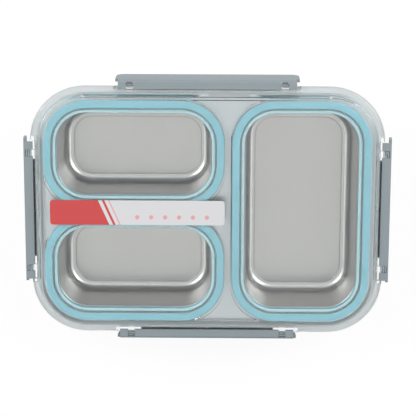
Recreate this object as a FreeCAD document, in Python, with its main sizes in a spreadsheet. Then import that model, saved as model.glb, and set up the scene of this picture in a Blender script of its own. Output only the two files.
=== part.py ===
import FreeCAD, Part
import os
from math import pi
from types import SimpleNamespace

import Sketcher

# A three-compartment lunch box: a moulded outer shell, a pressed steel tray that drops into it, and a
# clear lid with one seal round each compartment and a flap latch on each of its four sides.
# The origin is on the table under the middle of the box. X runs along its length, Y to its rear, Z up.
# All sizes are in millimetres.

SIZES = dict(
    # Lid: outline, heights and the insets of its shoulder, measured in from the outline
    lid_length=280.0,
    lid_width=199.0,
    lid_corner=44.0,
    lid_rise=10.8,
    panel_wall=2.4,
    rim_thick=3.0,
    rim_gap=0.3,
    rim_round=2.4,
    shoulder_foot=5.6,
    shoulder_head=8.0,
    shoulder_round=2.0,
    foot_round=1.2,
    cavity_inset=10.7,
    gusset_width=1.8,
    gusset_length=4.6,
    gusset_height=2.2,
    # Seals and the grooves that hold them
    seal_inset=11.0,
    seal_gap=6.2,
    seal_corner=34.0,
    seal_width=6.0,
    seal_reach=9.8,
    seal_grip=6.4,
    seal_heel=1.2,
    seal_toe=1.6,
    seal_fit=0.1,
    rib_thick=1.0,
    rib_depth=4.8,
    rib_bulk=3.4,
    # The gap between the small compartments and the large one
    divide_x=16.65,
    # Pressed steel tray
    tray_top=51.0,
    sheet=0.6,
    floor_gap=1.4,
    well_inset=10.2,
    well_draft=2.0,
    well_floor_round=5.5,
    well_rim_round=0.8,
    tray_gap=0.5,
    # Outer shell
    collar_inset=3.3,
    collar_drop=10.0,
    lip_width=2.0,
    ledge_width=3.0,
    shelf_inset=0.6,
    shelf_thick=2.4,
    shelf_gap=1.5,
    body_inset=5.6,
    foot_inset=16.0,
    base_wall=2.4,
    base_floor=2.0,
    base_round=4.0,
    inner_round=3.0,
    foot_recess=1.0,
    foot_rim=9.0,
    catch_inset=0.3,
    catch_height=3.0,
    catch_margin=16.0,
    # Flap latches, drawn about their hinge axis
    latch_long=139.7,
    latch_short=111.0,
    latch_reach=4.8,
    latch_wall=2.2,
    axis_reach=0.9,
    axis_rise=2.2,
    strip_width=7.2,
    strip_rise=3.0,
    bend_round=2.4,
    flap_drop=20.0,
    flap_lean=2.5,
    flap_extra=2.35,
    flap_shoulder=1.5,
    flap_corner=6.0,
    tab_length=6.35,
    notch_width=5.4,
    notch_gap=0.3,
    pin_radius=1.2,
    pin_fit=0.06,
    eye_radius=2.4,
    eye_slot=1.9,
    cheek_width=1.8,
    cheek_drop=1.9,
    cheek_reach=2.0,
    hook_clear=0.4,
    hook_height=2.4,
    hook_gap=0.35,
    swing_gap=0.4,
    gate_radius=0.8,
    gate_depth=0.3,
    # Plain paper label on the lid
    label_inset=16.0,
    label_end=2.65,
    label_width=19.8,
    label_thick=0.2,
    label_corner=2.5,
)

doc = FreeCAD.newDocument("lunch_box")
sheet = doc.addObject("Spreadsheet::Sheet", "sizes")
for row, (size_name, size) in enumerate(SIZES.items(), start=1):
    sheet.set(f"A{row}", size_name)
    sheet.set(f"B{row}", str(size))
    sheet.setAlias(f"B{row}", size_name)
doc.recompute()
s = SimpleNamespace(**{size_name: f"sizes.{size_name}" for size_name in SIZES})

PLANES = {"XY": "XY_Plane", "XZ": "XZ_Plane", "YZ": "YZ_Plane"}
ORIGIN = (-1, 1)


def value(expression):
    """The number that an expression of sheet sizes gives."""
    result = sheet.evalExpression(str(expression))
    return float(getattr(result, "Value", result))


def new_body(name):
    body = doc.addObject("PartDesign::Body", name)
    body.Label = name
    return body


def new_sketch(body, name, plane, centre):
    """An empty sketch on one of the body's planes, its origin moved to centre (across, up, off the plane)."""
    sketch = body.newObject("Sketcher::SketchObject", name)
    support = [f for f in body.Origin.OriginFeatures if f.Role == PLANES[plane]][0]
    sketch.AttachmentSupport = [(support, "")]
    sketch.MapMode = "FlatFace"
    for axis, expression in zip("xyz", centre):
        sketch.setExpression(f"AttachmentOffset.Base.{axis}", str(expression))
    return sketch


def limit(sketch, name, expression, kind, *references):
    """A named dimension of a sketch, bound to an expression of sheet sizes."""
    index = sketch.addConstraint(Sketcher.Constraint(kind, *references, value(expression)))
    sketch.renameConstraint(index, name)
    sketch.setExpression(f"Constraints.{name}", str(expression))


def add_rectangle(sketch, tag, length, width):
    """A sharp rectangle about the sketch's origin."""
    x, y = value(length) / 2, value(width) / 2
    corners = [FreeCAD.Vector(*p, 0) for p in ((-x, -y), (x, -y), (x, y), (-x, y))]
    first = sketch.GeometryCount
    for i in range(4):
        sketch.addGeometry(Part.LineSegment(corners[i], corners[(i + 1) % 4]), False)
    for i in range(4):
        sketch.addConstraint(Sketcher.Constraint("Coincident", first + i, 2, first + (i + 1) % 4, 1))
        sketch.addConstraint(Sketcher.Constraint("Vertical" if i % 2 else "Horizontal", first + i))
    sketch.addConstraint(Sketcher.Constraint("Symmetric", first, 1, first + 2, 1, *ORIGIN))
    limit(sketch, f"{tag}_length", length, "DistanceX", first, 1, first, 2)
    limit(sketch, f"{tag}_width", width, "DistanceY", first + 1, 1, first + 1, 2)


def add_rounded(sketch, tag, length, width, radius):
    """A round-cornered rectangle about the sketch's origin: four sides, then four corner arcs."""
    x, y, r = value(length) / 2, value(width) / 2, value(radius)
    ends = [((r - x, -y), (x - r, -y)), ((x, r - y), (x, y - r))]
    ends += [((x - r, y), (r - x, y)), ((-x, y - r), (-x, r - y))]
    centres = [(x - r, r - y), (x - r, y - r), (r - x, y - r), (r - x, r - y)]
    first = sketch.GeometryCount
    for start, end in ends:
        sketch.addGeometry(Part.LineSegment(FreeCAD.Vector(*start, 0), FreeCAD.Vector(*end, 0)), False)
    for i, centre in enumerate(centres):
        circle = Part.Circle(FreeCAD.Vector(*centre, 0), FreeCAD.Vector(0, 0, 1), r)
        sketch.addGeometry(Part.ArcOfCircle(circle, (i - 1) * pi / 2, i * pi / 2), False)
    for i in range(4):
        arc = first + 4 + i
        sketch.addConstraint(Sketcher.Constraint("Tangent", first + i, 2, arc, 1))
        sketch.addConstraint(Sketcher.Constraint("Tangent", arc, 2, first + (i + 1) % 4, 1))
        sketch.addConstraint(Sketcher.Constraint("Vertical" if i % 2 else "Horizontal", first + i))
        if i:
            sketch.addConstraint(Sketcher.Constraint("Equal", first + 4, arc))
    sketch.addConstraint(Sketcher.Constraint("Symmetric", first + 4, 3, first + 6, 3, *ORIGIN))
    limit(sketch, f"{tag}_radius", radius, "Radius", first + 4)
    limit(sketch, f"{tag}_length", length, "DistanceX", first + 3, 1, first + 1, 1)
    limit(sketch, f"{tag}_width", width, "DistanceY", first, 1, first + 2, 1)


def rectangle(body, name, plane, centre, length, width):
    sketch = new_sketch(body, name, plane, centre)
    add_rectangle(sketch, "side", length, width)
    return sketch


def rounded(body, name, centre, *loops):
    """A level sketch of one or more round-cornered rectangles, each (length, width, radius)."""
    sketch = new_sketch(body, name, "XY", centre)
    for i, loop in enumerate(loops):
        add_rounded(sketch, f"loop{i}", *loop)
    return sketch


def disc(body, name, plane, centre, radius):
    sketch = new_sketch(body, name, plane, centre)
    size = value(radius)
    sketch.addGeometry(Part.Circle(FreeCAD.Vector(0, 0, 0), FreeCAD.Vector(0, 0, 1), size), False)
    sketch.addConstraint(Sketcher.Constraint("Coincident", 0, 3, *ORIGIN))
    limit(sketch, "radius", radius, "Radius", 0)
    return sketch


def extrude(body, kind, name, sketch, length, both_ways=False, upward=True):
    """A pad or pocket along its sketch's normal, or centred on the sketch."""
    before = body.Shape.Volume if body.Tip else 0.0
    feature = body.newObject(f"PartDesign::{kind}", name)
    feature.Profile = sketch
    feature.setExpression("Length", str(length))
    if both_ways:
        feature.SideType = "Symmetric"
    else:
        feature.Reversed = upward == (kind == "Pocket")
    doc.recompute()
    change = body.Shape.Volume - before
    if change * (1 if kind == "Pad" else -1) <= 0:
        raise RuntimeError(f"{name} changed nothing")
    return feature


def pad(body, name, sketch, length, **how):
    return extrude(body, "Pad", name, sketch, length, **how)


def pocket(body, name, sketch, length, **how):
    return extrude(body, "Pocket", name, sketch, length, **how)


def loft(body, kind, name, first, second):
    feature = body.newObject(f"PartDesign::{kind}Loft", name)
    feature.Profile = first
    feature.Sections = [second]
    feature.Ruled = True
    doc.recompute()
    return feature


def fillet(body, name, radius, choose):
    """Round the edges of the body's last feature that choose picks."""
    last = body.Tip
    picked = [f"Edge{i}" for i, edge in enumerate(last.Shape.Edges, start=1) if choose(edge)]
    if not picked:
        raise RuntimeError(f"{name} found no edge")
    feature = body.newObject("PartDesign::Fillet", name)
    feature.Base = (last, picked)
    feature.setExpression("Radius", str(radius))
    doc.recompute()
    return feature


def level_edges(level, within=None):
    """A test for edges lying at a level, and inside a half length and half width if those are given."""
    height = value(level)

    def test(edge):
        box = edge.BoundBox
        if abs(box.ZMin - height) > 0.01 or abs(box.ZMax - height) > 0.01:
            return False
        if within is None:
            return True
        half_x, half_y = (value(w) for w in within)
        return max(abs(box.XMin), abs(box.XMax)) < half_x and max(abs(box.YMin), abs(box.YMax)) < half_y

    return test


def inset(distance):
    """The lid's outline moved in by a distance, as (length, width, radius)."""
    return (
        f"{s.lid_length} - 2 * ({distance})",
        f"{s.lid_width} - 2 * ({distance})",
        f"{s.lid_corner} - ({distance})",
    )


# Places that several pieces share
RIM_BOTTOM = f"({s.tray_top} + {s.rim_gap})"
RIM_TOP = f"({RIM_BOTTOM} + {s.rim_thick})"
LID_TOP = f"({s.tray_top} + {s.lid_rise})"
PANEL_UNDER = f"({LID_TOP} - {s.panel_wall})"
COLLAR_BOTTOM = f"({s.tray_top} - {s.collar_drop})"
BASE_FLOOR = f"({s.foot_recess} + {s.base_floor})"
WELL_FLOOR = f"({BASE_FLOOR} + {s.floor_gap} + {s.sheet})"
AXIS_Z = f"({RIM_BOTTOM} + {s.axis_rise})"
LIP_INSET = f"({s.collar_inset} + {s.lip_width})"
LEDGE_INSET = f"({LIP_INSET} + {s.ledge_width})"
FLANGE_INSET = f"({LIP_INSET} + {s.tray_gap})"
BEND = f"({s.latch_reach} - {s.axis_reach})"
STRIP_INNER = f"({s.strip_width} - {BEND})"
SWING = f"(sqrt({STRIP_INNER} ^ 2 + {s.strip_rise} ^ 2) + {s.swing_gap})"

# Each compartment's seal, by its outer edge: centre across, centre along, length, width
INNER_X = f"({s.lid_length} / 2 - {s.seal_inset})"
INNER_Y = f"({s.lid_width} / 2 - {s.seal_inset})"
HALF_GAP = f"({s.seal_gap} / 2)"
LEFT_LENGTH = f"({INNER_X} + {s.divide_x} - {HALF_GAP})"
RIGHT_LENGTH = f"({INNER_X} - {s.divide_x} - {HALF_GAP})"
LEFT_X = f"(({s.divide_x} - {HALF_GAP} - {INNER_X}) / 2)"
RIGHT_X = f"(({s.divide_x} + {HALF_GAP} + {INNER_X}) / 2)"
SMALL_WIDTH = f"({INNER_Y} - {HALF_GAP})"
SMALL_Y = f"(({INNER_Y} + {HALF_GAP}) / 2)"
COMPARTMENTS = {
    "rear_small": (LEFT_X, SMALL_Y, LEFT_LENGTH, SMALL_WIDTH),
    "front_small": (LEFT_X, f"-{SMALL_Y}", LEFT_LENGTH, SMALL_WIDTH),
    "large": (RIGHT_X, "0", RIGHT_LENGTH, f"(2 * {INNER_Y})"),
}

# Each latch: its strip length, the turn about Z that points it outwards, and its hinge axis
SIDES = {
    "rear": (s.latch_long, 0, "0", f"{s.lid_width} / 2 + {s.axis_reach}"),
    "front": (s.latch_long, 180, "0", f"-({s.lid_width} / 2 + {s.axis_reach})"),
    "left": (s.latch_short, 90, f"-({s.lid_length} / 2 + {s.axis_reach})", "0"),
    "right": (s.latch_short, -90, f"{s.lid_length} / 2 + {s.axis_reach}", "0"),
}


def ring(compartment, distance, radius=None):
    """A compartment's seal outline moved in by a distance, as (length, width, radius)."""
    _, _, length, width = COMPARTMENTS[compartment]
    corner = radius or f"{s.seal_corner} - ({distance})"
    return f"{length} - 2 * ({distance})", f"{width} - 2 * ({distance})", corner


def notch_place(strip_length):
    return f"({strip_length} / 2 - {s.tab_length} - {s.notch_width} / 2)"


def outward(side, distance):
    """A place a distance out from the middle of one side's lid edge, as (across, along)."""
    lengthwise = SIDES[side][1] in (0, 180)
    sign = "-" if side in ("front", "left") else ""
    edge = s.lid_width if lengthwise else s.lid_length
    reach = f"{sign}({edge} / 2 + {distance})"
    return ("0", reach) if lengthwise else (reach, "0")


def side_rectangle(body, name, side, distance, level, along, across):
    """A level rectangle on one side, centred a distance out from the lid's edge."""
    if SIDES[side][1] not in (0, 180):
        along, across = across, along
    return rectangle(body, name, "XY", outward(side, distance) + (level,), along, across)


def make_base_shell():
    """The outer shell: a drafted tub, a collar that carries the tray, corner shelves and catch bars."""
    body = new_body("base_shell")
    foot = rounded(body, "foot_outline", ("0", "0", "0"), inset(s.foot_inset))
    brim = rounded(body, "brim_outline", ("0", "0", COLLAR_BOTTOM), inset(s.body_inset))
    loft(body, "Additive", "tub", foot, brim)
    fillet(body, "foot_edge", s.base_round, level_edges("0"))
    collar = rounded(body, "collar_outline", ("0", "0", COLLAR_BOTTOM), inset(s.collar_inset))
    pad(body, "collar", collar, s.collar_drop)
    shelf_level = f"({s.tray_top} - {s.shelf_thick})"
    shelf = rounded(body, "shelf_outline", ("0", "0", shelf_level), inset(s.shelf_inset))
    pad(body, "shelf", shelf, s.shelf_thick)
    for side, (strip, _, _, _) in SIDES.items():
        span = f"{strip} + 2 * ({s.flap_extra} + {s.shelf_gap})"
        deep = f"2 * {s.collar_inset}"
        room = side_rectangle(body, f"latch_room_{side}_outline", side, "0", shelf_level, span, deep)
        pocket(body, f"latch_room_{side}", room, s.shelf_thick)
    low = rounded(body, "floor_outline", ("0", "0", BASE_FLOOR), inset(f"{s.foot_inset} + {s.base_wall}"))
    high = rounded(body, "mouth_outline", ("0", "0", COLLAR_BOTTOM), inset(LEDGE_INSET))
    loft(body, "Subtractive", "tub_hollow", low, high)
    fillet(body, "floor_edge", s.inner_round, level_edges(BASE_FLOOR))
    mouth = rounded(body, "mouth", ("0", "0", COLLAR_BOTTOM), inset(LEDGE_INSET))
    pocket(body, "collar_hollow", mouth, s.collar_drop)
    rebate = rounded(body, "rebate_outline", ("0", "0", f"{s.tray_top} - {s.sheet}"), inset(LIP_INSET))
    pocket(body, "tray_rebate", rebate, s.sheet)
    hollow = rounded(body, "foot_hollow_outline", ("0", "0", "0"), inset(f"{s.foot_inset} + {s.foot_rim}"))
    pocket(body, "foot_hollow", hollow, s.foot_recess)
    depth = f"({s.body_inset} - {s.catch_inset})"
    middle = f"-({s.catch_inset} + {depth} / 2)"
    for side, (strip, _, _, _) in SIDES.items():
        bar = f"{strip} - 2 * {s.catch_margin}"
        catch = side_rectangle(body, f"catch_{side}_outline", side, middle, COLLAR_BOTTOM, bar, depth)
        pad(body, f"catch_{side}", catch, s.catch_height)
    return body


def press_form(name, level, spread):
    """A plate on a level with three drafted wells hanging from it, each spread wider and deeper."""
    body = new_body(name)
    plate = rounded(body, f"{name}_plate_outline", ("0", "0", level), inset(FLANGE_INSET))
    pad(body, f"{name}_plate", plate, s.sheet)
    floor = f"({WELL_FLOOR} - {spread})"
    mouth = f"({s.well_inset} - {spread})"
    for well, (x, y, _, _) in COMPARTMENTS.items():
        top = rounded(body, f"{name}_{well}_mouth", (x, y, level), ring(well, mouth))
        bottom = rounded(body, f"{name}_{well}_floor", (x, y, floor), ring(well, f"{mouth} + {s.well_draft}"))
        loft(body, "Additive", f"{name}_{well}", top, bottom)
    fillet(body, f"{name}_floor_edges", f"{s.well_floor_round} + {spread}", level_edges(floor))
    rim_round = f"{s.well_rim_round} + {s.sheet} - {spread}"
    fillet(body, f"{name}_rim_edges", rim_round, level_edges(level, (INNER_X, INNER_Y)))
    return body


def make_steel_tray():
    """One pressed sheet: the outside of the pressing with the punch that shapes its inside taken out."""
    body = press_form("steel_tray", f"({s.tray_top} - {s.sheet})", s.sheet)
    punch = press_form("punch", s.tray_top, "0")
    pressing = body.newObject("PartDesign::Boolean", "pressing")
    pressing.Type = "Cut"
    pressing.setObjects([punch])
    doc.recompute()
    return body


def make_ribs():
    """The lid's seal grooves: for each seal a pair of ribs hanging from the panel."""
    body = new_body("ribs")
    for name, (x, y, _, _) in COMPARTMENTS.items():
        outer = ring(name, f"-{s.rib_thick}", f"{s.seal_corner} + {s.rib_thick} - {s.rib_bulk}")
        inner = ring(name, f"{s.seal_width} + {s.seal_fit} + {s.rib_thick}")
        block = rounded(body, f"{name}_rib_outline", (x, y, PANEL_UNDER), outer, inner)
        pad(body, f"{name}_ribs", block, s.rib_depth, upward=False)
        groove_loops = ring(name, f"-{s.seal_fit}"), ring(name, f"{s.seal_width} + {s.seal_fit}")
        groove = rounded(body, f"{name}_groove_outline", (x, y, PANEL_UNDER), *groove_loops)
        pocket(body, f"{name}_groove", groove, s.rib_depth, upward=False)
    return body


def make_lugs():
    """Two snap lugs for each latch: an arm, an eye round the pin and a slot for snapping the pin in."""
    body = new_body("lugs")
    width = f"({s.notch_width} - 2 * {s.notch_gap})"
    through = f"({width} + {s.notch_gap})"
    arm = f"({SWING} + {s.rim_thick})"
    for side, (strip, turn, axis_x, axis_y) in SIDES.items():
        lengthwise = turn in (0, 180)
        plane = "YZ" if lengthwise else "XZ"
        axis = axis_y if lengthwise else axis_x
        for end, mark in (("high", ""), ("low", "-")):
            tag = f"{side}_{end}"
            place = f"{mark}{notch_place(strip)}"
            middle = outward(side, f"{s.axis_reach} - {arm} / 2")
            centre = (place, middle[1], RIM_BOTTOM) if lengthwise else (middle[0], place, RIM_BOTTOM)
            across, along = (width, arm) if lengthwise else (arm, width)
            arm_outline = rectangle(body, f"arm_{tag}_outline", "XY", centre, across, along)
            pad(body, f"arm_{tag}", arm_outline, s.rim_thick)
            pivot = (axis, AXIS_Z, place if lengthwise else f"-({place})")
            eye = disc(body, f"eye_{tag}_outline", plane, pivot, s.eye_radius)
            pad(body, f"eye_{tag}", eye, width, both_ways=True)
            bore = disc(body, f"bore_{tag}_outline", plane, pivot, f"{s.pin_radius} + {s.pin_fit}")
            pocket(body, f"bore_{tag}", bore, through, both_ways=True)
            below = (axis, f"{AXIS_Z} - {s.eye_radius} / 2", pivot[2])
            slot = rectangle(body, f"slot_{tag}_outline", plane, below, s.eye_slot, s.eye_radius)
            pocket(body, f"slot_{tag}", slot, through, both_ways=True)
    return body


def make_lid():
    """The clear lid: rim, shoulder and panel, seal grooves under the panel, and the latches' lugs."""
    body = new_body("lid")
    rim = rounded(body, "rim_outline", ("0", "0", RIM_BOTTOM), inset("0"))
    pad(body, "rim", rim, s.rim_thick)
    fillet(body, "rim_edge", s.rim_round, level_edges(RIM_TOP))
    cut = f"({SWING} - {s.axis_reach})"
    for side, (strip, _, _, _) in SIDES.items():
        span = f"{strip} + 2 * {s.notch_gap}"
        opening = side_rectangle(body, f"swing_{side}_outline", side, "0", RIM_BOTTOM, span, f"2 * {cut}")
        pocket(body, f"swing_{side}", opening, s.rim_thick)
    foot = rounded(body, "shoulder_foot_outline", ("0", "0", RIM_TOP), inset(s.shoulder_foot))
    head = rounded(body, "shoulder_head_outline", ("0", "0", LID_TOP), inset(s.shoulder_head))
    loft(body, "Additive", "shoulder", foot, head)
    fillet(body, "shoulder_edge", s.shoulder_round, level_edges(LID_TOP))
    inside_rim = f"{s.shoulder_foot} - {s.foot_round} / 2"
    half = (f"{s.lid_length} / 2 - ({inside_rim})", f"{s.lid_width} / 2 - ({inside_rim})")
    fillet(body, "shoulder_root", s.foot_round, level_edges(RIM_TOP, half))
    for side in SIDES:
        middle = f"-({cut} + {s.gusset_length} / 2)"
        gusset_size = (s.gusset_width, s.gusset_length)
        gusset = side_rectangle(body, f"gusset_{side}_outline", side, middle, RIM_TOP, *gusset_size)
        pad(body, f"gusset_{side}", gusset, s.gusset_height)
    cavity_corner = f"{s.seal_corner} + {s.seal_inset} - {s.cavity_inset}"
    cavity_size = inset(s.cavity_inset)[:2] + (cavity_corner,)
    cavity = rounded(body, "cavity_outline", ("0", "0", RIM_BOTTOM), cavity_size)
    pocket(body, "cavity", cavity, f"{PANEL_UNDER} - {RIM_BOTTOM}")
    fittings = body.newObject("PartDesign::Boolean", "fittings")
    fittings.Type = "Fuse"
    fittings.setObjects([make_ribs(), make_lugs()])
    doc.recompute()
    return body


def make_seal(name):
    """A silicone seal: a channel pushed over the groove's inner rib, its thick side filling the groove."""
    x, y, length, width = COMPARTMENTS[name]
    body = new_body(f"seal_{name}")
    path = rounded(body, "run", (x, y, s.tray_top), ring(name, "0"))
    start = (f"{y} - {width} / 2", s.tray_top, f"{x} - {length} / 2 + {s.seal_corner}")
    section = new_sketch(body, "section", "YZ", start)
    height = f"{PANEL_UNDER} - {s.seal_fit} - {s.tray_top}"
    web = f"{height} - {s.rib_depth}"
    slot = f"{s.seal_width} + {s.rib_thick} + 2 * {s.seal_fit}"
    heel, toe, wide = (value(v) for v in (s.seal_heel, s.seal_toe, s.seal_width))
    reach, grip, inside = (value(v) for v in (s.seal_reach, s.seal_grip, slot))
    high, low = value(height), value(web)
    corners = [(heel, 0), (reach - heel, 0), (reach, toe), (reach, grip), (inside, grip), (inside, low)]
    corners += [(wide, low), (wide, high), (0, high), (0, toe)]
    points = [FreeCAD.Vector(*p, 0) for p in corners]
    count = len(points)
    for i in range(count):
        section.addGeometry(Part.LineSegment(points[i], points[(i + 1) % count]), False)
    for i in range(count):
        section.addConstraint(Sketcher.Constraint("Coincident", i, 2, (i + 1) % count, 1))
    for side in (0, 3, 5, 7):
        section.addConstraint(Sketcher.Constraint("Horizontal", side))
    for side in (2, 4, 6, 8):
        section.addConstraint(Sketcher.Constraint("Vertical", side))
    section.addConstraint(Sketcher.Constraint("PointOnObject", 0, 1, -1))
    section.addConstraint(Sketcher.Constraint("PointOnObject", 8, 1, -2))
    limit(section, "heel", s.seal_heel, "DistanceX", *ORIGIN, 0, 1)
    limit(section, "inner_heel", s.seal_heel, "DistanceX", 1, 1, 2, 1)
    limit(section, "reach", s.seal_reach, "DistanceX", *ORIGIN, 2, 1)
    limit(section, "inner_toe", s.seal_toe, "DistanceY", *ORIGIN, 2, 1)
    limit(section, "grip", s.seal_grip, "DistanceY", *ORIGIN, 3, 1)
    limit(section, "slot", slot, "DistanceX", *ORIGIN, 4, 1)
    limit(section, "web", web, "DistanceY", *ORIGIN, 5, 1)
    limit(section, "wide", s.seal_width, "DistanceX", *ORIGIN, 6, 1)
    limit(section, "high", height, "DistanceY", *ORIGIN, 7, 1)
    limit(section, "toe", s.seal_toe, "DistanceY", *ORIGIN, 9, 1)
    sweep = body.newObject("PartDesign::AdditivePipe", "sweep")
    sweep.Profile = section
    sweep.Spine = (path, [])
    doc.recompute()
    return body


def latch_profile(body):
    """The latch's section across its hinge: a level strip, a bend and a flap that leans out."""
    sketch = new_sketch(body, "profile", "YZ", ("0", "0", "0"))
    out, back, top, wall = value(BEND), -value(STRIP_INNER), value(s.strip_rise), value(s.latch_wall)
    bend, drop, lean = value(s.bend_round), value(s.flap_drop), value(s.flap_lean)
    foot = out + lean
    corners = [(back, top - wall), (back, top), (out - bend, top), (out, top - bend), (foot, -drop)]
    corners += [(foot - wall, -drop), (out - wall, top - wall)]
    a, b, c, d, e, f, g = (FreeCAD.Vector(*p, 0) for p in corners)
    for start, end in ((a, b), (b, c), (d, e), (e, f), (f, g), (g, a)):
        sketch.addGeometry(Part.LineSegment(start, end), False)
    middle = FreeCAD.Vector(out - bend, top - bend, 0)
    sketch.addGeometry(Part.ArcOfCircle(Part.Circle(middle, FreeCAD.Vector(0, 0, 1), bend), 0, pi / 2), False)
    sketch.addGeometry(Part.Point(FreeCAD.Vector(out, top, 0)), True)
    arc, corner = 6, 7
    for pair in ((0, 2, 1, 1), (2, 2, 3, 1), (3, 2, 4, 1), (4, 2, 5, 1), (5, 2, 0, 1)):
        sketch.addConstraint(Sketcher.Constraint("Coincident", *pair))
    sketch.addConstraint(Sketcher.Constraint("Tangent", 1, 2, arc, 2))
    sketch.addConstraint(Sketcher.Constraint("Tangent", 2, 1, arc, 1))
    sketch.addConstraint(Sketcher.Constraint("Vertical", 0))
    for line in (1, 3, 5):
        sketch.addConstraint(Sketcher.Constraint("Horizontal", line))
    sketch.addConstraint(Sketcher.Constraint("Parallel", 2, 4))
    for line in (1, 2):
        sketch.addConstraint(Sketcher.Constraint("PointOnObject", corner, 1, line))
    limit(sketch, "bend", s.bend_round, "Radius", arc)
    limit(sketch, "back", STRIP_INNER, "DistanceX", 0, 2, *ORIGIN)
    limit(sketch, "top", s.strip_rise, "DistanceY", *ORIGIN, 0, 2)
    limit(sketch, "strip", s.latch_wall, "DistanceY", 0, 1, 0, 2)
    limit(sketch, "out", BEND, "DistanceX", *ORIGIN, corner, 1)
    limit(sketch, "drop", s.flap_drop, "DistanceY", 3, 1, *ORIGIN)
    limit(sketch, "foot", f"{BEND} + {s.flap_lean}", "DistanceX", *ORIGIN, 3, 1)
    limit(sketch, "flap", s.latch_wall, "DistanceX", 3, 2, 3, 1)
    return sketch


def make_latch(side):
    """A flap latch about its hinge axis: strip, flap, two notches bridged by pins, and a hook bar."""
    strip, turn, axis_x, axis_y = SIDES[side]
    body = new_body(f"latch_{side}")
    pad(body, "angle", latch_profile(body), f"{strip} + 2 * {s.flap_extra}", both_ways=True)
    tall = f"({s.strip_rise} + {s.flap_shoulder})"
    deep = f"(2 * {s.strip_width})"
    notch = notch_place(strip)
    for end, tag in (("", "high"), ("-", "low")):
        beyond = f"{end}({strip} / 2 + {s.flap_extra})"
        corner = rectangle(body, f"step_{tag}_outline", "XY", (beyond, "0", f"-{s.flap_shoulder}"),
                           f"2 * {s.flap_extra}", deep)
        pocket(body, f"step_{tag}", corner, tall)
    inner = f"({s.eye_radius} + {s.notch_gap})"
    for end, tag in (("", "high"), ("-", "low")):
        back = f"({inner} - {s.strip_width})"
        gap = rectangle(body, f"notch_{tag}_outline", "XY", (f"{end}{notch}", back, f"-{inner}"),
                        s.notch_width, f"2 * {s.strip_width}")
        pocket(body, f"notch_{tag}", gap, f"{inner} + {s.strip_rise}")
    cheek_high = f"({s.cheek_drop} + {s.strip_rise} - {s.latch_wall} / 2)"
    cheek_deep = f"({s.cheek_reach} + {BEND} - {s.latch_wall} / 2)"
    centre_y = f"({cheek_deep} / 2 - {s.cheek_reach})"
    centre_z = f"({cheek_high} / 2 - {s.cheek_drop})"
    offset = f"({s.notch_width} / 2 + {s.cheek_width} / 2)"
    for end, tag in (("", "high"), ("-", "low")):
        for edge in ("-", "+"):
            name = f"cheek_{tag}_{'near' if edge == '-' else 'far'}"
            place = (centre_y, centre_z, f"{end}({notch} {edge} {offset})")
            cheek = rectangle(body, f"{name}_outline", "YZ", place, cheek_deep, cheek_high)
            pad(body, name, cheek, s.cheek_width, both_ways=True)
        pin = disc(body, f"pin_{tag}_outline", "YZ", ("0", "0", f"{end}{notch}"), s.pin_radius)
        pad(body, f"pin_{tag}", pin, f"{s.notch_width} + {s.cheek_width}", both_ways=True)
    hook_tip = f"({s.axis_reach} + {s.catch_inset} - {s.hook_gap})"
    hook_level = f"({AXIS_Z} - {COLLAR_BOTTOM} + {s.hook_clear} + {s.hook_height} / 2)"
    flap_share = f"({s.strip_rise} + {hook_level}) / ({s.strip_rise} + {s.flap_drop})"
    hook_root = f"({BEND} + {s.flap_lean} * {flap_share} - {s.latch_wall} / 2)"
    hook_deep = f"({hook_tip} + {hook_root})"
    place = (f"{hook_deep} / 2 - {hook_tip}", f"-{hook_level}", "0")
    hook = rectangle(body, "hook_outline", "YZ", place, hook_deep, s.hook_height)
    pad(body, "hook", hook, f"{strip} - 2 * {s.catch_margin}", both_ways=True)
    gate = disc(body, "gate_outline", "XY", ("0", "0", s.strip_rise), s.gate_radius)
    pocket(body, "gate", gate, s.gate_depth, upward=False)
    foot = -value(s.flap_drop)
    half = value(strip) / 2 + value(s.flap_extra)

    def flap_corner(edge):
        box = edge.BoundBox
        at_end = box.XLength < 0.01 and abs(abs(box.XMin) - half) < 0.01
        return at_end and abs(box.ZMax - foot) < 0.01

    fillet(body, "flap_corners", s.flap_corner, flap_corner)
    body.Placement = FreeCAD.Placement(FreeCAD.Vector(), FreeCAD.Rotation(FreeCAD.Vector(0, 0, 1), turn))
    for axis, expression in zip("xyz", (axis_x, axis_y, AXIS_Z)):
        body.setExpression(f"Placement.Base.{axis}", expression)
    doc.recompute()
    return body


def make_label():
    """A plain paper band on the lid, over the gap between the two small compartments."""
    body = new_body("label")
    left = f"({s.lid_length} / 2 - {s.label_inset})"
    right = f"({s.divide_x} - {s.label_end})"
    place = (f"({right} - {left}) / 2", "0", LID_TOP)
    outline = rounded(body, "label_outline", place, (f"{left} + {right}", s.label_width, s.label_corner))
    pad(body, "band", outline, s.label_thick)
    return body


pieces = [make_base_shell(), make_steel_tray(), make_lid()]
pieces += [make_seal(name) for name in COMPARTMENTS]
pieces += [make_latch(side) for side in SIDES]
pieces.append(make_label())

doc.recompute()
for item in doc.Objects:
    if "Invalid" in item.State or "Error" in item.State:
        raise RuntimeError(f"{item.Name} failed to build")
for piece in pieces:
    shape = piece.Shape
    if shape.isNull() or not shape.isValid() or len(shape.Solids) != 1:
        raise RuntimeError(f"{piece.Label} is not one valid solid")

os.makedirs("parts", exist_ok=True)
for piece in pieces:
    piece.Shape.exportStep(f"parts/{piece.Label}.step")
    box = piece.Shape.BoundBox
    print(f"{piece.Label}: {box.XLength:.2f} x {box.YLength:.2f} x {box.ZLength:.2f} mm")
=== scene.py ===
from math import cos, pi, radians, sin, tan

import bmesh
import bpy
from mathutils import Matrix, Vector


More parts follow.
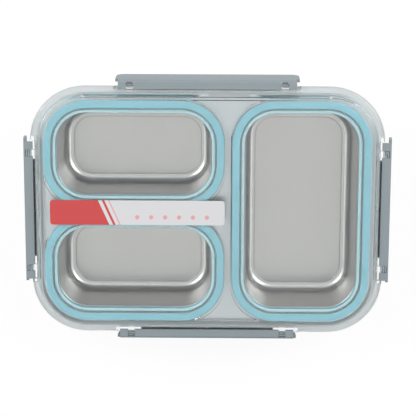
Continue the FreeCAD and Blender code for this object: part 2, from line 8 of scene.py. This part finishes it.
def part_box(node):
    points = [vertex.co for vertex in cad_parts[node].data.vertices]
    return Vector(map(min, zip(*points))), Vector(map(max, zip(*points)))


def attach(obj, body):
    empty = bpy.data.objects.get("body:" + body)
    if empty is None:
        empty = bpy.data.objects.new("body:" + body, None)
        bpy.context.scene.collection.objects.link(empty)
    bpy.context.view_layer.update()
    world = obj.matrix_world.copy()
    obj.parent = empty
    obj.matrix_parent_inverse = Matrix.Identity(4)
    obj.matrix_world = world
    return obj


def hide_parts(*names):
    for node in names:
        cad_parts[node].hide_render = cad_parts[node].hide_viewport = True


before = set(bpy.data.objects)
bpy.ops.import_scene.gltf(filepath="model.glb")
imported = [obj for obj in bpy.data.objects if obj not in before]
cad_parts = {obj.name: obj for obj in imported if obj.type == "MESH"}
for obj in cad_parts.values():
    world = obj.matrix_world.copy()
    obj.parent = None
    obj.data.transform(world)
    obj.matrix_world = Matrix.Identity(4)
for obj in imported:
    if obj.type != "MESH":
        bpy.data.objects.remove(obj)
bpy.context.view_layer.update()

MM = 0.001

SEALS = ("seal_rear_small", "seal_front_small", "seal_large")
LATCHES = ("latch_rear", "latch_front", "latch_left", "latch_right")

# Pressed steel tray
SHEET = 0.6 * MM
WELL_INSET = 10.2 * MM
WELL_DRAFT = 2.0 * MM
WELL_FLOOR_ROUND = 6.2 * MM
WELL_RIM_ROUND = 1.4 * MM
FLOOR_STEP = ((0.5 * MM, 0.0), (1.0 * MM, 0.3 * MM))
FLANGE_CORNER = 38.2 * MM
EDGE_BAND = 0.5 * MM
CORNER_STEPS = 14
BEND_STEPS = 8

# Heights between which one finish of the steel gives way to the next, in roughness and in colour: the colour
# carries painted shade on the floor and walls and a painted highlight on the bend
FLOOR_TO_BEND = (5.32 * MM, 5.5 * MM)
BEND_TO_WALL = (6.5 * MM, 9.5 * MM)
WALL_TO_FLANGE = (49.2 * MM, 50.6 * MM)

# Silicone seals: a channel that grips the lid's rib, drawn inwards from its outer edge and up from the tray
SEAL_CORNER = 34.0 * MM
SEAL_CORNER_STEPS = 20
SEAL_OUTSIDE = ((0.0, 8.3), (0.0, 1.6), (1.2, 0.0), (8.6, 0.0), (9.8, 1.6), (9.8, 6.4))
SEAL_CHANNEL = ((7.2, 6.4), (7.2, 3.5), (6.0, 3.5), (6.0, 8.3))
SEAL_SOFTNESS = 0.45 * MM
SEAL_SOFT_STEPS = 4
SEAL_INPUTS = {
    "Section": "NodeSocketObject",
    "Length": "NodeSocketFloat",
    "Width": "NodeSocketFloat",
    "Corner": "NodeSocketFloat",
    "Softness": "NodeSocketFloat",
    "Channel Start": "NodeSocketFloat",
    "Lip Start": "NodeSocketFloat",
    "Lip End": "NodeSocketFloat",
    "Fold Foot": "NodeSocketFloat",
    "Centre": "NodeSocketVector",
    "Material": "NodeSocketMaterial",
}

# Painted light on the seal's inside, where shade falls under the lid's rib, kept as an attribute: the channel
# has 1, the lip has less, the rest has nought
SEAL_PAINTED_LIGHT = "fold"
LIP_PAINTED_LIGHT = 0.5
CHANNEL_START = 5.9 * MM
LIP_START = 7.3 * MM
LIP_END = 9.6 * MM
FOLD_FOOT = 3.0 * MM

# Copies of CAD nodes
SAME_POINT = 0.001 * MM
SAME_PLANE = radians(0.5)
SHARP_EDGE = radians(35)
SHELL_SHARP_EDGE = radians(12)
LATCH_EDGE = 0.3 * MM

# Colours: a pair is the darkest and the lightest of a clouded finish
CLEAR = (0.94, 0.955, 0.96, 1)
# The wells' steel is painted by height: the floor a shade darker than the flange as painted shade, the bend
# lighter as a painted highlight, the walls darker as painted shade
FLOOR_STEEL_PAINTED_SHADE = ((0.53, 0.52, 0.50), (0.56, 0.55, 0.53))
BEND_PAINTED_HIGHLIGHT = (0.61, 0.61, 0.60)
WALL_PAINTED_SHADE = (0.50, 0.50, 0.495)
FLANGE_STEEL = ((0.61, 0.65, 0.66), (0.64, 0.68, 0.69))
SILICONE = ((0.30, 0.645, 0.74), (0.33, 0.685, 0.78))
# The lip and channel colours are painted light, paler where shade falls under the lid's rib
SILICONE_LIP_PAINTED_LIGHT = (0.60, 0.87, 0.92)
SILICONE_CHANNEL_PAINTED_LIGHT = (0.72, 0.97, 1.0)
LATCH_GREY = ((0.285, 0.335, 0.36), (0.31, 0.36, 0.385))
SHELL_WHITE = ((0.74, 0.76, 0.76), (0.79, 0.805, 0.805))
PAPER = ((0.71, 0.71, 0.73), (0.77, 0.77, 0.785))
PRINT_RED = ((0.60, 0.072, 0.072), (0.66, 0.082, 0.082))
PRINT_PINK = (0.80, 0.40, 0.42)
WHITE = (1, 1, 1, 1)

# Depth of the bumps in each finish
STEEL_WAVES = 0.2 * MM
STEEL_GRAIN = 0.001 * MM
SILICONE_DUST = 0.02 * MM
PLASTIC_GRAIN = 0.03 * MM
PAPER_FIBRE = 0.01 * MM

# The label's printed design, from its red end to its row of dots
LABEL_SLANT = 0.45
RED_END = (-200 * MM, -81.5 * MM)
RED_STRIPE = (-78.5 * MM, -76.5 * MM)
PINK_STRIPE = (-73.5 * MM, -72.5 * MM)
DOT_ROW = (-60.5 * MM, 5.5 * MM)
DOT_ROW_Y = -3.6 * MM
DOT_SPACING = 11.0 * MM
DOT_RADIUS = 1.7 * MM

# The photograph's view: a square picture taken from above and a little behind the box
PICTURE = 416
SENSOR = 36.0
FOCAL_PIXELS = 1354.0
VIEW_DISTANCE = 1.072
VIEW_TARGET = Vector((0, 0, 58 * MM))
VIEW_LEAN_X = radians(0.77)
VIEW_LEAN_Y = radians(11.33)
VIEW_ROLL = radians(0.17)
TARGET_OFF_CENTRE = (-1.03, -4.2)

# Studio: each lamp's direction on the right, its two sides and its power, with a twin on the left
LAMPS = {
    "softbox": ((0.64, 0.40, 0.65), (0.7, 1.1), 9.0),
    "panel": ((0.74, 0.05, 0.67), (1.2, 0.6), 1.4),
}
LAMP_DISTANCE = 1.4
SOFT_LIGHT = 0.33
SHOWING_RAYS = ("Is Camera Ray", "Is Glossy Ray", "Is Transmission Ray")
STAGE_SIZE = 4.0
STAGE_DROP = 0.2 * MM
STAGE_PAINT = (0.85, 0.85, 0.85, 1)
STAGE_WHITE = 1.05
STAGE_GLOW = 0.86


def feed(tree, socket, source):
    """Link another node's output to a socket, or set the socket's own value."""
    if isinstance(source, bpy.types.NodeSocket):
        tree.links.new(source, socket)
    else:
        socket.default_value = source


def add_node(tree, kind, inputs=None, **settings):
    """A new node, its inputs fed by name or number."""
    node = tree.nodes.new(kind)
    for name, value in settings.items():
        setattr(node, name, value)
    for name, source in (inputs or {}).items():
        feed(tree, node.inputs[name], source)
    return node


class Finish:
    """A material round one Principled shader, with short ways to add texture nodes to it."""

    def __init__(self, name, sockets):
        self.material = bpy.data.materials.new(name)
        self.material.use_nodes = True
        self.tree = self.material.node_tree
        self.shader = self.tree.nodes["Principled BSDF"]
        for socket, value in sockets.items():
            self.shader.inputs[socket].default_value = value

    def node(self, kind, inputs=None, **settings):
        return add_node(self.tree, kind, inputs, **settings)

    def place(self):
        """The piece's own coordinates, in metres."""
        return self.node("ShaderNodeTexCoord").outputs["Object"]

    def along(self, axis):
        """One of the piece's coordinates."""
        return self.node("ShaderNodeSeparateXYZ", {"Vector": self.place()}).outputs[axis]

    def noise(self, scale, stretch=(1, 1, 1), detail=2.0):
        """Noise on the piece's own coordinates, scale waves to the metre."""
        stretched = self.node("ShaderNodeMapping", {"Vector": self.place(), "Scale": stretch})
        inputs = {"Vector": stretched.outputs["Vector"], "Scale": scale, "Detail": detail}
        return self.node("ShaderNodeTexNoise", inputs).outputs["Fac"]

    def spread(self, source, low, high, source_low=0.3, source_high=0.7):
        """A texture value brought into a range."""
        inputs = {
            "Value": source,
            "From Min": source_low,
            "From Max": source_high,
            "To Min": low,
            "To Max": high,
        }
        return self.node("ShaderNodeMapRange", inputs).outputs["Result"]

    def ramp(self, source, low, high):
        """Nought up to one value, rising to one at another."""
        return self.spread(source, 0.0, 1.0, low, high)

    def math(self, operation, first, second):
        """Two values put through one operation of a Math node."""
        return self.node("ShaderNodeMath", {0: first, 1: second}, operation=operation).outputs[0]

    def between(self, value, low, high):
        """One where a value lies between two limits, nought elsewhere."""
        above = self.math("GREATER_THAN", value, low)
        below = self.math("LESS_THAN", value, high)
        return self.math("MULTIPLY", above, below)

    def mixed(self, kind, share, first, second):
        mix = self.node("ShaderNodeMix", data_type=kind)
        inputs = [socket for socket in mix.inputs if socket.enabled]
        for socket, source in zip(inputs, (share, first, second)):
            feed(self.tree, socket, source)
        return next(socket for socket in mix.outputs if socket.enabled)

    def colour(self, share, first, second):
        """Two colours mixed by a value. A colour is three numbers or another node's output."""
        pair = [c if isinstance(c, bpy.types.NodeSocket) else (*c, 1) for c in (first, second)]
        return self.mixed("RGBA", share, *pair)

    def blend(self, share, first, second):
        """Two numbers mixed by a value."""
        return self.mixed("FLOAT", share, first, second)

    def bump(self, height, depth, under=None):
        """A bump of a depth in metres, on top of another bump if one is given."""
        inputs = {"Height": height, "Distance": depth}
        if under is not None:
            inputs["Normal"] = under
        return self.node("ShaderNodeBump", inputs).outputs["Normal"]

    def drive(self, **sources):
        """Link texture values to the shader's sockets, named with underscores for spaces."""
        for name, source in sources.items():
            self.tree.links.new(source, self.shader.inputs[name.replace("_", " ")])
        return self.material


def clear_plastic():
    finish = Finish("clear_plastic", {"Base Color": CLEAR, "Transmission Weight": 1.0, "IOR": 1.45})
    smear = finish.noise(60, detail=4)
    return finish.drive(Roughness=finish.spread(smear, 0.01, 0.04))


def tray_steel():
    """Satin floors painted a shade darker than the flange, a painted highlight on the bend round them,
    painted shade on the drawn walls and an even flange without grain.
    """
    finish = Finish("tray_steel", {"Metallic": 1.0})
    height = finish.along("Z")
    bend = finish.ramp(height, *FLOOR_TO_BEND)
    wall = finish.ramp(height, *BEND_TO_WALL)
    flange = finish.ramp(height, *WALL_TO_FLANGE)
    grain = finish.noise(2600, stretch=(0.03, 1, 1), detail=3)
    patches = finish.noise(22)
    # Painted light in the wells: a randomly clouded floor painted a shade darker, a painted highlight on the
    # bend, painted shade on the walls
    floor_steel_painted_shade = finish.colour(patches, *FLOOR_STEEL_PAINTED_SHADE)
    bend_and_wall_painted_light = finish.colour(wall, BEND_PAINTED_HIGHLIGHT, WALL_PAINTED_SHADE)
    flange_steel = finish.colour(patches, *FLANGE_STEEL)
    well_steel_painted_light = finish.colour(bend, floor_steel_painted_shade, bend_and_wall_painted_light)
    floor_roughness = finish.spread(grain, 0.20, 0.25)
    drawn_roughness = finish.spread(grain, 0.28, 0.34)
    flange_roughness = finish.spread(patches, 0.36, 0.40)
    well_roughness = finish.blend(bend, floor_roughness, drawn_roughness)
    waves = finish.bump(finish.noise(14, detail=1), STEEL_WAVES)
    return finish.drive(
        Base_Color=finish.colour(flange, well_steel_painted_light, flange_steel),
        Roughness=finish.blend(flange, well_roughness, flange_roughness),
        Normal=finish.bump(finish.blend(flange, grain, 0.5), STEEL_GRAIN, under=waves),
    )


def blue_silicone():
    """Blue outside, with painted light on the inner lip and more painted light down in the channel, where
    shade falls under the lid's rib.
    """
    finish = Finish("blue_silicone", {"Subsurface Weight": 0.15, "Subsurface Scale": 0.002})
    clouds = finish.noise(60)
    dust = finish.noise(2500)
    fold = finish.node("ShaderNodeAttribute", attribute_name=SEAL_PAINTED_LIGHT).outputs["Fac"]
    outside = finish.colour(clouds, *SILICONE)
    # The lip and channel are painted paler: painted light where shade falls under the lid's rib
    lip = finish.colour(finish.ramp(fold, 0.0, LIP_PAINTED_LIGHT), outside, SILICONE_LIP_PAINTED_LIGHT)
    return finish.drive(
        Base_Color=finish.colour(finish.ramp(fold, LIP_PAINTED_LIGHT, 1.0), lip, SILICONE_CHANNEL_PAINTED_LIGHT),
        Roughness=finish.spread(dust, 0.42, 0.55),
        Normal=finish.bump(dust, SILICONE_DUST),
    )


def moulded_plastic(name, colours):
    finish = Finish(name, {"IOR": 1.5, "Specular IOR Level": 0.2})
    clouds = finish.noise(45)
    grain = finish.noise(2200, detail=3)
    return finish.drive(
        Base_Color=finish.colour(clouds, *colours),
        Roughness=finish.spread(grain, 0.36, 0.5),
        Normal=finish.bump(grain, PLASTIC_GRAIN),
    )


def label_paper():
    """White coated paper with a red slanted end, two stripes and a row of soft dots."""
    finish = Finish("label_paper", {"IOR": 1.45})
    x, y = finish.along("X"), finish.along("Y")
    slanted = finish.math("ADD", x, finish.math("MULTIPLY", y, LABEL_SLANT))
    red_end = finish.between(slanted, *RED_END)
    red_stripe = finish.between(slanted, *RED_STRIPE)
    pink_stripe = finish.between(slanted, *PINK_STRIPE)
    repeat = {0: x, 1: DOT_SPACING / 2, 2: -DOT_SPACING / 2}
    dot_x = finish.node("ShaderNodeMath", repeat, operation="WRAP").outputs[0]
    dot_y = finish.math("SUBTRACT", y, DOT_ROW_Y)
    squares = finish.math("ADD", finish.math("MULTIPLY", dot_x, dot_x), finish.math("MULTIPLY", dot_y, dot_y))
    in_dot = finish.math("LESS_THAN", finish.math("POWER", squares, 0.5), DOT_RADIUS)
    dots = finish.math("MULTIPLY", in_dot, finish.between(x, *DOT_ROW))
    fibre = finish.noise(3000, detail=3)
    paper = finish.colour(fibre, *PAPER)
    print_red = finish.colour(fibre, *PRINT_RED)
    design = finish.colour(dots, paper, PRINT_PINK)
    design = finish.colour(pink_stripe, design, PRINT_PINK)
    design = finish.colour(finish.math("MAXIMUM", red_end, red_stripe), design, print_red)
    return finish.drive(
        Base_Color=design,
        Roughness=finish.spread(fibre, 0.35, 0.5),
        Normal=finish.bump(fibre, PAPER_FIBRE),
    )


def new_object(name, data):
    piece = bpy.data.objects.new(name, data)
    bpy.context.scene.collection.objects.link(piece)
    return piece


def applied(piece):
    """A piece with its modifiers turned into plain mesh."""
    now = bpy.context.evaluated_depsgraph_get()
    final = piece.evaluated_get(now)
    mesh = bpy.data.meshes.new_from_object(final, preserve_all_data_layers=True, depsgraph=now)
    old = piece.data
    piece.modifiers.clear()
    piece.data = mesh
    bpy.data.meshes.remove(old)
    return piece


def stand_for(piece, node, body, material):
    """Put a finished piece in the place of a CAD node."""
    piece.data.materials.clear()
    piece.data.materials.append(material)
    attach(piece, body)
    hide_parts(node)


def even_shading(piece):
    even = piece.modifiers.new("even_shading", "WEIGHTED_NORMAL")
    even.keep_sharp = True


def smoothed_copy(node, name, edge=0.0, sharp=SHARP_EDGE):
    """A CAD node's copy with its triangles joined, curved faces shaded evenly and, if asked, soft edges."""
    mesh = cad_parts[node].data.copy()
    shape = bmesh.new()
    shape.from_mesh(mesh)
    bmesh.ops.remove_doubles(shape, verts=shape.verts, dist=SAME_POINT)
    bmesh.ops.dissolve_limit(shape, angle_limit=SAME_PLANE, verts=shape.verts, edges=shape.edges)
    for face in shape.faces:
        face.smooth = True
    shape.to_mesh(mesh)
    shape.free()
    piece = new_object(name, mesh)
    if edge:
        bevel = piece.modifiers.new("soft_edges", "BEVEL")
        bevel.width = edge
        bevel.segments = 2
        bevel.limit_method = "ANGLE"
        bevel.angle_limit = sharp
    else:
        mesh.set_sharp_from_angle(angle=sharp)
    even_shading(piece)
    return applied(piece)


def rounded_ring(shape, low, high, corner, height):
    """Vertices of a round-cornered level rectangle between two corners."""
    centres = (
        (high.x - corner, high.y - corner),
        (low.x + corner, high.y - corner),
        (low.x + corner, low.y + corner),
        (high.x - corner, low.y + corner),
    )
    ring = []
    for quarter, (x, y) in enumerate(centres):
        for step in range(CORNER_STEPS + 1):
            angle = (quarter + step / CORNER_STEPS) * pi / 2
            ring.append(shape.verts.new((x + corner * cos(angle), y + corner * sin(angle), height)))
    return ring


def join_rings(shape, upper, lower):
    for i in range(len(upper)):
        after = (i + 1) % len(upper)
        shape.faces.new((upper[i], upper[after], lower[after], lower[i]))


def well_section(top, floor):
    """A well's wall from flange to floor: its inset from the seal's outer edge and its height."""
    quarter = [step / BEND_STEPS * pi / 2 for step in range(BEND_STEPS + 1)]
    mouth, foot = WELL_INSET, WELL_INSET + WELL_DRAFT
    rim_round, bend = WELL_RIM_ROUND, WELL_FLOOR_ROUND
    flat = [(mouth - rim_round - EDGE_BAND, top)]
    rim = [(mouth - rim_round * (1 - sin(a)), top - rim_round * (1 - cos(a))) for a in quarter]
    turn = [(foot + bend * (1 - cos(a)), floor + bend * (1 - sin(a))) for a in quarter]
    step = [(foot + bend + inset, floor + rise) for inset, rise in FLOOR_STEP]
    return flat + rim + turn + step


def well_rings(shape, seal, top, floor):
    """A well sunk under a seal."""
    low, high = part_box(seal)
    rings = []
    for inset, height in well_section(top, floor):
        step = Vector((inset, inset, 0))
        rings.append(rounded_ring(shape, low + step, high - step, SEAL_CORNER - inset, height))
    return rings


def fill_flange(shape, rims):
    """Close the level sheet between the flange's edge and the wells' mouths."""
    edges = []
    for rim in rims:
        for i in range(len(rim)):
            pair = (rim[i], rim[(i + 1) % len(rim)])
            edges.append(shape.edges.get(pair) or shape.edges.new(pair))
    bmesh.ops.triangle_fill(shape, edges=edges, use_beauty=True, normal=(0, 0, 1))


def pressed_tray():
    """The tray as a sheet: a flange with three wells sunk into it, then given its thickness."""
    low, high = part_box("steel_tray")
    shape = bmesh.new()
    band = Vector((EDGE_BAND, EDGE_BAND, 0))
    edge = rounded_ring(shape, low, high, FLANGE_CORNER, high.z)
    inner = rounded_ring(shape, low + band, high - band, FLANGE_CORNER - EDGE_BAND, high.z)
    join_rings(shape, edge, inner)
    rims = [inner]
    for seal in SEALS:
        rings = well_rings(shape, seal, high.z, low.z + SHEET)
        for upper, lower in zip(rings, rings[1:]):
            join_rings(shape, upper, lower)
        shape.faces.new(rings[-1])
        rims.append(rings[0])
    fill_flange(shape, rims)
    bmesh.ops.recalc_face_normals(shape, faces=shape.faces)
    if sum(face.normal.z * face.calc_area() for face in shape.faces) < 0:
        bmesh.ops.reverse_faces(shape, faces=shape.faces)
    for face in shape.faces:
        face.smooth = True
    mesh = bpy.data.meshes.new("pressed_tray")
    shape.to_mesh(mesh)
    shape.free()
    piece = new_object("pressed_tray", mesh)
    wall = piece.modifiers.new("sheet", "SOLIDIFY")
    wall.thickness = SHEET
    wall.offset = -1
    wall.use_even_offset = True
    even_shading(piece)
    return applied(piece)


def seal_tree():
    """Geometry nodes that sweep a seal's section round its path, and mark where its inside is painted lighter
    on the way.
    """
    tree = bpy.data.node_groups.new("seal_sweep", "GeometryNodeTree")
    tree.interface.new_socket("Geometry", in_out="OUTPUT", socket_type="NodeSocketGeometry")
    identifiers = {}
    for label, kind in SEAL_INPUTS.items():
        identifiers[label] = tree.interface.new_socket(label, in_out="INPUT", socket_type=kind).identifier
    given = add_node(tree, "NodeGroupInput").outputs

    def made(kind, output, inputs=None, **settings):
        return add_node(tree, kind, inputs, **settings).outputs[output]

    def math(operation, *sources):
        return made("ShaderNodeMath", 0, dict(enumerate(sources)), operation=operation)

    sides = {"Width": given["Length"], "Height": given["Width"]}
    path = made("GeometryNodeCurvePrimitiveQuadrilateral", "Curve", sides)
    rounding = {"Curve": path, "Count": SEAL_CORNER_STEPS, "Radius": given["Corner"]}
    path = made("GeometryNodeFilletCurve", "Curve", rounding, mode="POLY")
    path = made("GeometryNodeTransform", "Geometry", {"Geometry": path, "Translation": given["Centre"]})
    section = made("GeometryNodeObjectInfo", "Geometry", {"Object": given["Section"]})
    softening = {"Curve": section, "Count": SEAL_SOFT_STEPS, "Radius": given["Softness"]}
    section = made("GeometryNodeFilletCurve", "Curve", softening, mode="POLY")

    position = made("GeometryNodeInputPosition", "Position")
    place = add_node(tree, "ShaderNodeSeparateXYZ", {"Vector": position}).outputs
    across = math("MULTIPLY", place["X"], -1.0)
    up = math("MULTIPLY", place["Y"], -1.0)
    after_start = math("GREATER_THAN", across, given["Channel Start"])
    before_end = math("LESS_THAN", across, given["Lip End"])
    above_foot = math("GREATER_THAN", up, given["Fold Foot"])
    inside = math("MULTIPLY", math("MULTIPLY", after_start, before_end), above_foot)
    in_channel = math("LESS_THAN", across, given["Lip Start"])
    fold = math("MULTIPLY", inside, math("MULTIPLY_ADD", in_channel, 1 - LIP_PAINTED_LIGHT, LIP_PAINTED_LIGHT))
    marking = {"Geometry": section, "Name": SEAL_PAINTED_LIGHT, "Value": fold}
    section = made("GeometryNodeStoreNamedAttribute", "Geometry", marking)

    ring = made("GeometryNodeCurveToMesh", "Mesh", {"Curve": path, "Profile Curve": section})
    ring = made("GeometryNodeSetShadeSmooth", "Geometry", {"Geometry": ring})
    ring = made("GeometryNodeRealizeInstances", "Geometry", {"Geometry": ring})
    ring = made("GeometryNodeSetMaterial", "Geometry", {"Geometry": ring, "Material": given["Material"]})
    add_node(tree, "NodeGroupOutput", {"Geometry": ring})
    return tree, identifiers


def seal_section():
    """The seal's section as a closed curve. The sweep points its X outwards and its Y down."""
    curve = bpy.data.curves.new("seal_section", "CURVE")
    curve.dimensions = "3D"
    line = curve.splines.new("POLY")
    corners = SEAL_OUTSIDE + SEAL_CHANNEL
    line.points.add(len(corners) - 1)
    for point, (across, up) in zip(line.points, corners):
        point.co = (-across * MM, -up * MM, 0, 1)
    line.use_cyclic_u = True
    return new_object("seal_section", curve)


def swept_seal(node, tree, identifiers, section, material):
    low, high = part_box(node)
    piece = new_object(node + "_ring", bpy.data.meshes.new(node + "_ring"))
    sweep = piece.modifiers.new("sweep", "NODES")
    sweep.node_group = tree
    values = {
        "Section": section,
        "Length": high.x - low.x,
        "Width": high.y - low.y,
        "Corner": SEAL_CORNER,
        "Softness": SEAL_SOFTNESS,
        "Channel Start": CHANNEL_START,
        "Lip Start": LIP_START,
        "Lip End": LIP_END,
        "Fold Foot": FOLD_FOOT,
        "Centre": ((low.x + high.x) / 2, (low.y + high.y) / 2, low.z),
        "Material": material,
    }
    for label, value in values.items():
        sweep[identifiers[label]] = value
    return applied(piece)


def showing(tree):
    """One for a ray that shows the background, nought for a ray that only lights."""
    rays = add_node(tree, "ShaderNodeLightPath").outputs
    shown = rays[SHOWING_RAYS[0]]
    for kind in SHOWING_RAYS[1:]:
        shown = add_node(tree, "ShaderNodeMath", {0: shown, 1: rays[kind]}, operation="MAXIMUM").outputs[0]
    return shown


def white_surround():
    """A world that shows white and gives a soft light from all round."""
    world = bpy.data.worlds.new("white_surround")
    bpy.context.scene.world = world
    world.use_nodes = True
    tree = world.node_tree
    tree.nodes.clear()
    light = add_node(tree, "ShaderNodeBackground", {"Color": WHITE, "Strength": SOFT_LIGHT})
    white = add_node(tree, "ShaderNodeBackground", {"Color": WHITE})
    parts = {"Fac": showing(tree), 1: light.outputs["Background"], 2: white.outputs["Background"]}
    mix = add_node(tree, "ShaderNodeMixShader", parts)
    add_node(tree, "ShaderNodeOutputWorld", {"Surface": mix.outputs["Shader"]})


def soft_lamp(name, direction, sides, power):
    """A rectangular lamp with a soft edge to its shadows, aimed at the box."""
    lamp = bpy.data.lights.new(name, "AREA")
    lamp.shape = "RECTANGLE"
    lamp.size, lamp.size_y = sides
    lamp.energy = power
    holder = new_object(name, lamp)
    away = Vector(direction).normalized()
    holder.location = VIEW_TARGET + LAMP_DISTANCE * away
    holder.rotation_euler = away.to_track_quat("Z", "Y").to_euler()


def white_floor():
    """A plain white floor that keeps a faint shadow of the box."""
    shape = bmesh.new()
    bmesh.ops.create_grid(shape, x_segments=1, y_segments=1, size=STAGE_SIZE)
    mesh = bpy.data.meshes.new("floor")
    shape.to_mesh(mesh)
    shape.free()
    floor = new_object("floor", mesh)
    floor.location.z = -STAGE_DROP
    material = bpy.data.materials.new("floor_white")
    material.use_nodes = True
    tree = material.node_tree
    tree.nodes.clear()
    paint = add_node(tree, "ShaderNodeBsdfDiffuse", {"Color": STAGE_PAINT})
    white = add_node(tree, "ShaderNodeEmission", {"Strength": STAGE_WHITE})
    glow = add_node(tree, "ShaderNodeMath", {0: showing(tree), 1: STAGE_GLOW}, operation="MULTIPLY")
    parts = {"Fac": glow.outputs[0], 1: paint.outputs["BSDF"], 2: white.outputs["Emission"]}
    mix = add_node(tree, "ShaderNodeMixShader", parts)
    add_node(tree, "ShaderNodeOutputMaterial", {"Surface": mix.outputs["Shader"]})
    mesh.materials.append(material)


def photo_camera():
    """A camera where the photograph was taken, with the target as far off centre as it is there."""
    away = Vector((tan(VIEW_LEAN_X), tan(VIEW_LEAN_Y), 1)).normalized()
    level = Vector((0, 1, 0)).cross(away).normalized()
    right = Matrix.Rotation(VIEW_ROLL, 3, away) @ level
    up = away.cross(right)
    place = VIEW_TARGET + VIEW_DISTANCE * away
    pixel = VIEW_DISTANCE / FOCAL_PIXELS
    aim = VIEW_TARGET - pixel * (TARGET_OFF_CENTRE[0] * right + TARGET_OFF_CENTRE[1] * up)
    back = (place - aim).normalized()
    right = up.cross(back).normalized()
    up = back.cross(right)
    camera = bpy.data.cameras.new("camera")
    camera.sensor_width = SENSOR
    camera.lens = SENSOR * FOCAL_PIXELS / PICTURE
    holder = new_object("camera", camera)
    holder.matrix_world = Matrix.Translation(place) @ Matrix((right, up, back)).transposed().to_4x4()
    bpy.context.scene.camera = holder


latch_plastic = moulded_plastic("grey_plastic", LATCH_GREY)
shell_plastic = moulded_plastic("shell_plastic", SHELL_WHITE)

stand_for(smoothed_copy("lid", "clear_lid"), "lid", "lid", clear_plastic())
outer_shell = smoothed_copy("base_shell", "outer_shell", sharp=SHELL_SHARP_EDGE)
stand_for(outer_shell, "base_shell", "base", shell_plastic)
stand_for(pressed_tray(), "steel_tray", "tray", tray_steel())
for latch in LATCHES:
    flap = smoothed_copy(latch, latch + "_flap", edge=LATCH_EDGE)
    stand_for(flap, latch, latch, latch_plastic)
silicone = blue_silicone()
sweep_tree, sweep_inputs = seal_tree()
section = seal_section()
for seal in SEALS:
    ring = swept_seal(seal, sweep_tree, sweep_inputs, section, silicone)
    stand_for(ring, seal, "lid", silicone)
bpy.data.objects.remove(section)
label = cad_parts["label"]
label.data.materials.clear()
label.data.materials.append(label_paper())

white_surround()
for kind, ((x, y, z), sides, power) in LAMPS.items():
    soft_lamp("right_" + kind, (x, y, z), sides, power)
    soft_lamp("left_" + kind, (-x, y, z), sides, power)
white_floor()
photo_camera()
bpy.context.scene.view_settings.view_transform = "Standard"
